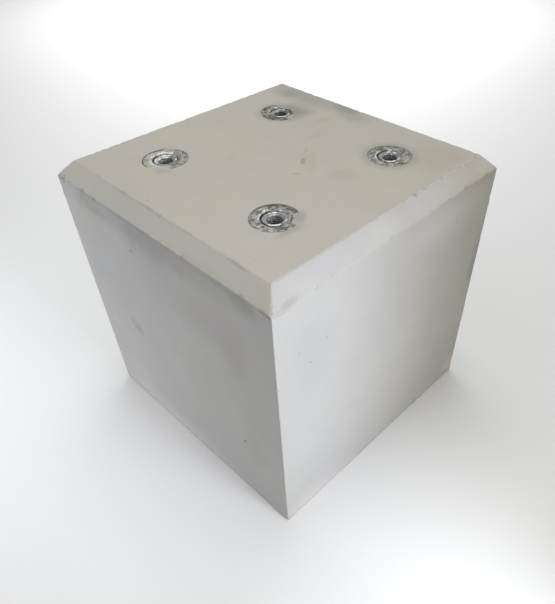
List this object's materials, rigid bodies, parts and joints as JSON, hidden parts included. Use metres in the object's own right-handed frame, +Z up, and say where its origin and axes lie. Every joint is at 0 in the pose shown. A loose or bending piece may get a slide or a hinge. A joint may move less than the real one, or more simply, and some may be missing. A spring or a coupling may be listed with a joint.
{
  "type": "concrete deck pier block",
  "caption": "Cast concrete cube with bevelled top edges and threaded steel sockets in its top, for bolting a deck post or beam down.",
  "frame": {"origin": "centre of the base", "axes": "+Z up; X and Y square to the sides; the sockets lie on a square along X and Y"},
  "size_m": [0.3, 0.3, 0.3],
  "materials": {
    "concrete": "smooth cast concrete, softly mottled, with pinholes and small chips",
    "plate_steel": "dull grey plate, smeared with cement",
    "tube_steel": "bright cut end, dull threaded bore",
    "bar_steel": "plain hot-rolled steel bar"
  },
  "bodies": {
    "root": {"concrete_block": "concrete", "socket_plate_front": "plate_steel", "socket_plate_left": "plate_steel", "socket_plate_right": "plate_steel", "socket_plate_back": "plate_steel", "socket_tube_front": "tube_steel", "socket_tube_left": "tube_steel", "socket_tube_right": "tube_steel", "socket_tube_back": "tube_steel", "anchor_bar_front": "bar_steel", "anchor_bar_left": "bar_steel", "anchor_bar_right": "bar_steel", "anchor_bar_back": "bar_steel"}
  },
  "joints": []
}
